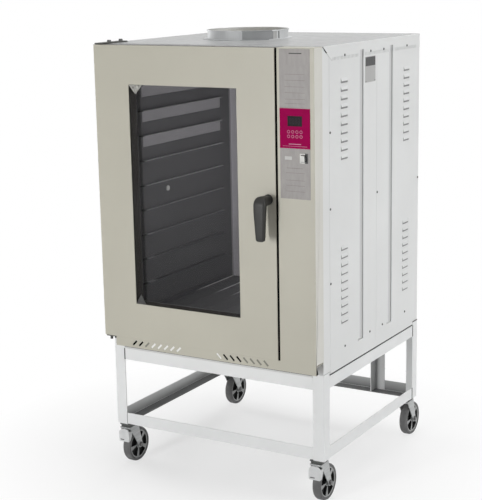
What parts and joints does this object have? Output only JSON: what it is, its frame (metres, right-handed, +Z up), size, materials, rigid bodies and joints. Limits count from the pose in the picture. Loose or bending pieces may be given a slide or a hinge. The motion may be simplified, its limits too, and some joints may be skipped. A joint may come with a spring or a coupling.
{
  "type": "convection oven on wheeled stand",
  "caption": "Tall glazed-door convection oven with a control column and side louvres, standing on a wheeled angle-iron stand; door, lever handle, switch, fan, casters and brakes move.",
  "frame": {"origin": "floor point under the middle of the bounding box", "axes": "+Z up, -Y towards the person at the door, +X to the control column's side"},
  "size_m": [1.006, 1.147, 1.85],
  "materials": {
    "stand_paint": "light grey satin paint",
    "caster_steel": "grey pressed steel",
    "hub_plastic": "moulded grey plastic",
    "tyre_rubber": "dark grey tread",
    "panel_paint": "light grey satin paint",
    "front_paint": "warm grey satin paint",
    "chamber_steel": "brushed stainless sheet",
    "flue_steel": "brushed stainless sheet",
    "mineral_wool": "pressed mineral wool",
    "clear_glass": "toughened glass",
    "black_plastic": "black moulded plastic",
    "spacer_black": "black enamel",
    "seal_rubber": "black silicone",
    "overlay_grey": "satin grey film",
    "keypad_red": "magenta film",
    "display_dark": "dark lens",
    "rocker_white": "white moulded plastic",
    "motor_iron": "dark painted casting",
    "heater_steel": "heat-darkened tube",
    "fan_steel": "folded sheet",
    "lamp_glass": "frosted glass",
    "hinge_steel": "zinc-plated plate",
    "controller_case": "moulded case"
  },
  "bodies": {
    "cabinet": {"upper_rails": "stand_paint", "lower_rails": "stand_paint", "rear_post": "stand_paint", "caster_plates": "caster_steel", "base_pan": "panel_paint", "front_frame": "panel_paint", "side_panel_left_front": "panel_paint", "side_panel_left_rear": "panel_paint", "side_panel_right_front": "panel_paint", "side_panel_right_rear": "panel_paint", "back_panel": "panel_paint", "top_cover": "panel_paint", "flue_collar": "flue_steel", "cable_gland": "black_plastic", "cavity_liner": "chamber_steel", "insulation": "mineral_wool", "rack_left": "chamber_steel", "rack_right": "chamber_steel", "fan_baffle": "chamber_steel", "fan_motor": "motor_iron", "heater": "heater_steel", "cavity_lamp": "lamp_glass", "hinge_top": "hinge_steel", "hinge_bottom": "hinge_steel", "latch_keeper": "hinge_steel", "fascia": "front_paint", "control_overlay": "overlay_grey", "keypad_panel": "keypad_red", "display_window": "display_dark", "rocker_bezel": "black_plastic", "controller": "controller_case", "fasteners": "hinge_steel", "leg_front_left": "stand_paint", "leg_front_right": "stand_paint", "leg_rear_left": "stand_paint", "leg_rear_right": "stand_paint"},
    "door": {"door_outer": "front_paint", "door_inner": "chamber_steel", "glass_outer": "clear_glass", "glass_inner": "clear_glass", "window_spacer": "spacer_black", "door_gasket": "seal_rubber", "handle_rose": "black_plastic"},
    "handle": {"handle": "black_plastic"},
    "rocker": {"rocker": "rocker_white"},
    "fan": {"fan_impeller": "fan_steel"},
    "swivel_front_left": {"caster_fork_front_left": "caster_steel"},
    "wheel_front_left": {"wheel_hub_front_left": "hub_plastic", "tyre_front_left": "tyre_rubber"},
    "swivel_front_right": {"caster_fork_front_right": "caster_steel"},
    "wheel_front_right": {"wheel_hub_front_right": "hub_plastic", "tyre_front_right": "tyre_rubber"},
    "swivel_rear_left": {"caster_fork_rear_left": "caster_steel"},
    "wheel_rear_left": {"wheel_hub_rear_left": "hub_plastic", "tyre_rear_left": "tyre_rubber"},
    "swivel_rear_right": {"caster_fork_rear_right": "caster_steel"},
    "wheel_rear_right": {"wheel_hub_rear_right": "hub_plastic", "tyre_rear_right": "tyre_rubber"},
    "pedal_front_left": {"brake_pedal_front_left": "hub_plastic"},
    "pedal_front_right": {"brake_pedal_front_right": "hub_plastic"}
  },
  "joints": [
    {"name": "door_hinge", "type": "hinge", "parent": "cabinet", "child": "door", "pos_m": [-0.482, -0.4735, 1.206], "axis": [0, 0, -1], "range_deg": [0, 120]},
    {"name": "handle_turn", "type": "hinge", "parent": "door", "child": "handle", "pos_m": [0.3, -0.4935, 1.237], "axis": [0, 1, 0], "range_deg": [0, 90]},
    {"name": "rocker_tip", "type": "hinge", "parent": "cabinet", "child": "rocker", "pos_m": [0.4555, -0.4935, 1.403], "axis": [1, 0, 0], "range_deg": [-16, 0]},
    {"name": "fan_spin", "type": "hinge", "parent": "cabinet", "child": "fan", "pos_m": [0.23, -0.0145, 1.2], "axis": [1, 0, 0], "continuous": true},
    {"name": "swivel_turn_front_left", "type": "hinge", "parent": "cabinet", "child": "swivel_front_left", "pos_m": [-0.462, -0.3975, 0.18], "axis": [0, 0, 1], "continuous": true},
    {"name": "wheel_roll_front_left", "type": "hinge", "parent": "swivel_front_left", "child": "wheel_front_left", "pos_m": [-0.462, -0.3555, 0.075], "axis": [1, 0, 0], "continuous": true},
    {"name": "swivel_turn_front_right", "type": "hinge", "parent": "cabinet", "child": "swivel_front_right", "pos_m": [0.462, -0.3975, 0.18], "axis": [0, 0, 1], "continuous": true},
    {"name": "wheel_roll_front_right", "type": "hinge", "parent": "swivel_front_right", "child": "wheel_front_right", "pos_m": [0.462, -0.3555, 0.075], "axis": [1, 0, 0], "continuous": true},
    {"name": "swivel_turn_rear_left", "type": "hinge", "parent": "cabinet", "child": "swivel_rear_left", "pos_m": [-0.462, 0.4565, 0.18], "axis": [0, 0, 1], "continuous": true},
    {"name": "wheel_roll_rear_left", "type": "hinge", "parent": "swivel_rear_left", "child": "wheel_rear_left", "pos_m": [-0.462, 0.4985, 0.075], "axis": [1, 0, 0], "continuous": true},
    {"name": "swivel_turn_rear_right", "type": "hinge", "parent": "cabinet", "child": "swivel_rear_right", "pos_m": [0.462, 0.4565, 0.18], "axis": [0, 0, 1], "continuous": true},
    {"name": "wheel_roll_rear_right", "type": "hinge", "parent": "swivel_rear_right", "child": "wheel_rear_right", "pos_m": [0.462, 0.4985, 0.075], "axis": [1, 0, 0], "continuous": true},
    {"name": "pedal_press_front_left", "type": "hinge", "parent": "swivel_front_left", "child": "pedal_front_left", "pos_m": [-0.462, -0.4115, 0.1517], "axis": [1, 0, 0], "range_deg": [0, 15]},
    {"name": "pedal_press_front_right", "type": "hinge", "parent": "swivel_front_right", "child": "pedal_front_right", "pos_m": [0.462, -0.4115, 0.1517], "axis": [1, 0, 0], "range_deg": [0, 15]}
  ]
}
